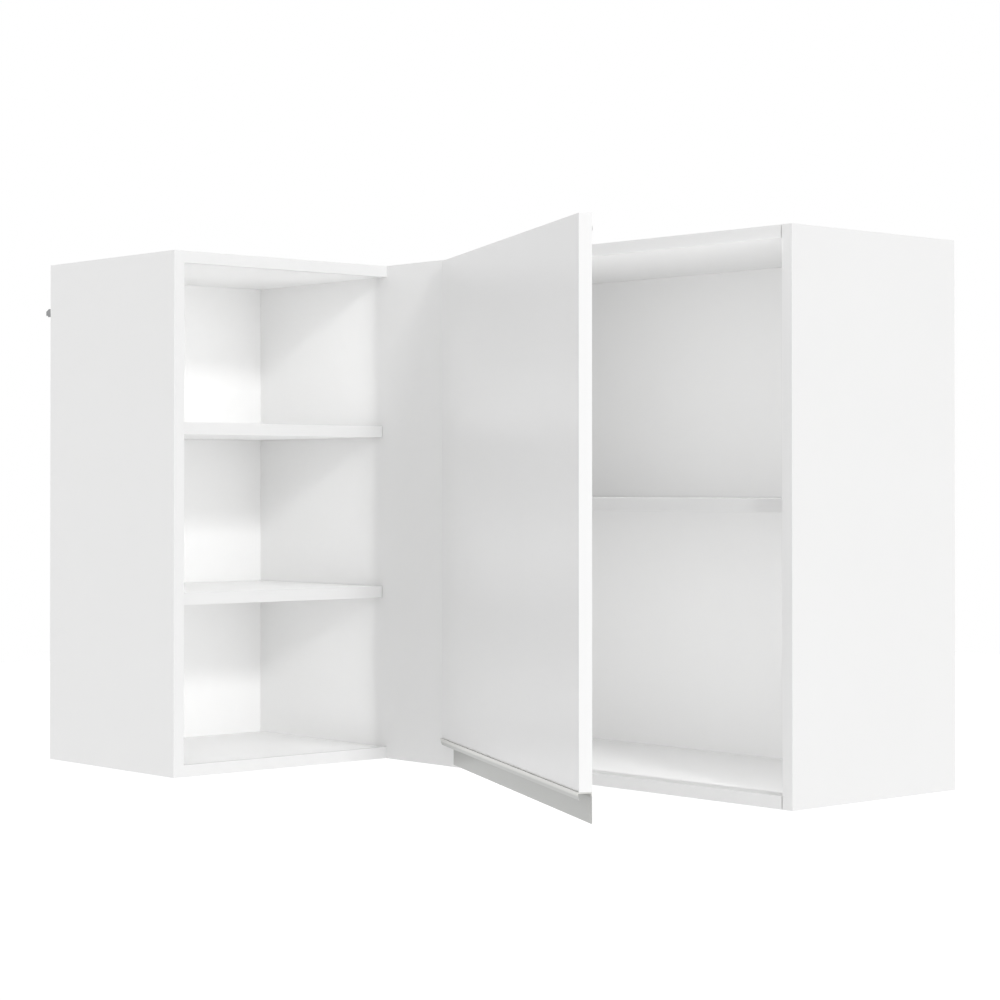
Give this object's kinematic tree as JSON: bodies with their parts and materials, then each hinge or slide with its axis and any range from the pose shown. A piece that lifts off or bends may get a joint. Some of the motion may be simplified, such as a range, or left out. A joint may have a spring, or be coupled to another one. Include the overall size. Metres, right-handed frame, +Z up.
{
  "type": "corner wall cabinet",
  "caption": "White corner wall cabinet with open shelves on one arm and a hinged door with a metal pull profile over a blind corner on the other.",
  "frame": {"origin": "bottom of the room corner that the cabinet hangs in, where the plane of the rear edges on the back wall meets the plane of the left wall", "axes": "+Z up, +X along the back wall towards the free end of the corner module, -Y out of the back wall along the left wall towards the free end of the open module"},
  "size_m": [1.116, 0.712, 0.7],
  "materials": {
    "white_board": "white melamine on chipboard, satin, edges banded",
    "white_hardboard": "thin hardboard, white lacquered",
    "zinc": "zinc die-cast and zinc plated steel",
    "beech": "plain beech",
    "nickel_steel": "nickel plated pressed steel",
    "screw_steel": "zinc plated steel screws",
    "hook_steel": "zinc plated steel plate",
    "white_plastic": "moulded plastic, matt",
    "satin_aluminium": "satin anodised extrusion",
    "clear_rubber": "soft translucent pad"
  },
  "bodies": {
    "cabinet": {"right_side_panel": "white_board", "corner_side_panel": "white_board", "right_top_panel": "white_board", "right_bottom_panel": "white_board", "hinge_post": "white_board", "inner_shelf": "white_board", "fixed_front_panel": "white_board", "open_end_panel": "white_board", "open_top_panel": "white_board", "open_bottom_panel": "white_board", "upper_open_shelf": "white_board", "lower_open_shelf": "white_board", "right_back_panel": "white_hardboard", "open_back_panel": "white_hardboard", "cam_locks": "zinc", "cam_bolts": "zinc", "inner_shelf_pins": "zinc", "open_shelf_pins": "zinc", "wood_dowels": "beech", "lower_hinge_arm": "nickel_steel", "upper_hinge_arm": "nickel_steel", "lower_hinge_plate": "nickel_steel", "upper_hinge_plate": "nickel_steel", "hinge_plate_screws": "screw_steel", "hinge_arm_screws": "screw_steel", "hanger_fixing_screws": "screw_steel", "hanger_adjusting_screws": "screw_steel", "open_hanger_hook": "hook_steel", "corner_hanger_hook": "hook_steel", "right_hanger_hook": "hook_steel", "open_hanger_housing": "white_plastic", "corner_hanger_housing": "white_plastic", "right_hanger_housing": "white_plastic", "open_hanger_cover": "white_plastic", "corner_hanger_cover": "white_plastic", "right_hanger_cover": "white_plastic"},
    "door": {"door_panel": "white_board", "handle_profile": "satin_aluminium", "handle_screws": "screw_steel", "hinge_cup_screws": "screw_steel", "door_bumpers": "clear_rubber", "lower_hinge_cup": "nickel_steel", "upper_hinge_cup": "nickel_steel", "lower_hinge_pin": "nickel_steel", "upper_hinge_pin": "nickel_steel"}
  },
  "joints": [
    {"name": "door_swing", "type": "hinge", "parent": "cabinet", "child": "door", "pos_m": [0.4587, -0.3216, 0.35], "axis": [0, 0, -1], "range_deg": [-26, 69]}
  ]
}
